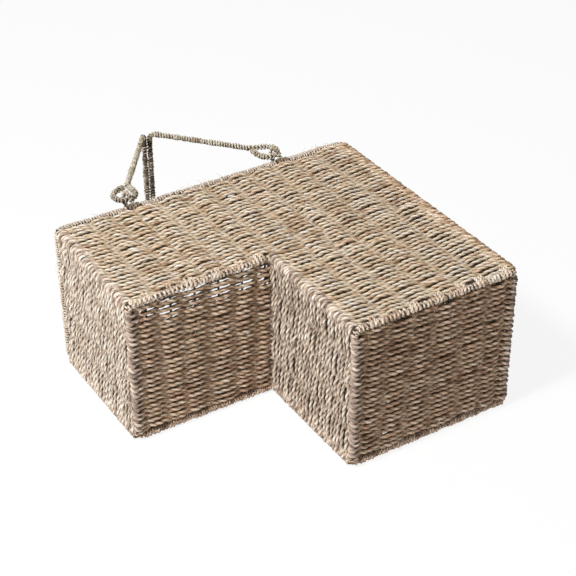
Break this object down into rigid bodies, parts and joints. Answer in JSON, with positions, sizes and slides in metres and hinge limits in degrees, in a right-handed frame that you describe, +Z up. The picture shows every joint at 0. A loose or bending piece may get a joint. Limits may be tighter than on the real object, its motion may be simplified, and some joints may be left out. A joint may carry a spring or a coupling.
{
  "type": "stair basket",
  "caption": "Woven seagrass basket with an L-shaped profile that sits on two stair steps, with two hinged hoop handles.",
  "frame": {"origin": "middle of the whole object's footprint, on the floor that its side wall lies on", "axes": "+Z up, across the basket's width as it lies on its side; +Y out of the mouth; +X along the rim from the rear wall to the front wall"},
  "size_m": [0.42, 0.5457, 0.2088],
  "materials": {
    "seagrass_weave": "matte",
    "seagrass_binding": "matte",
    "handle_wrap": "matte",
    "frame_wire": "satin"
  },
  "bodies": {
    "basket": {"wire_frame": "frame_wire", "rim_binding_rear": "seagrass_binding", "rim_binding_front": "seagrass_binding", "rim_binding_low": "seagrass_binding", "rim_binding_high": "seagrass_binding", "upper_floor": "seagrass_weave", "upper_floor_binding_low": "seagrass_binding", "upper_floor_binding_high": "seagrass_binding", "lower_floor": "seagrass_weave", "lower_floor_binding_low": "seagrass_binding", "lower_floor_binding_high": "seagrass_binding", "side_wall_low": "seagrass_weave", "side_wall_high": "seagrass_weave", "rear_wall": "seagrass_weave", "riser_wall": "seagrass_weave", "front_wall": "seagrass_weave", "ring_rear_high": "seagrass_binding", "lashing_rear_high": "seagrass_binding", "ring_rear_low": "seagrass_binding", "lashing_rear_low": "seagrass_binding", "ring_front_high": "seagrass_binding", "lashing_front_high": "seagrass_binding", "ring_front_low": "seagrass_binding", "lashing_front_low": "seagrass_binding"},
    "rear_handle": {"rear_handle_wire": "frame_wire", "rear_handle_wrap": "handle_wrap"},
    "front_handle": {"front_handle_wire": "frame_wire", "front_handle_wrap": "handle_wrap"}
  },
  "joints": [
    {"name": "rear_handle_hinge", "type": "hinge", "parent": "basket", "child": "rear_handle", "pos_m": [-0.101, 0.12221, 0.1], "axis": [0, 0, 1], "range_deg": [0, 130]},
    {"name": "front_handle_hinge", "type": "hinge", "parent": "basket", "child": "front_handle", "pos_m": [0.113, 0.12221, 0.1], "axis": [0, 0, -1], "range_deg": [0, 130]}
  ]
}
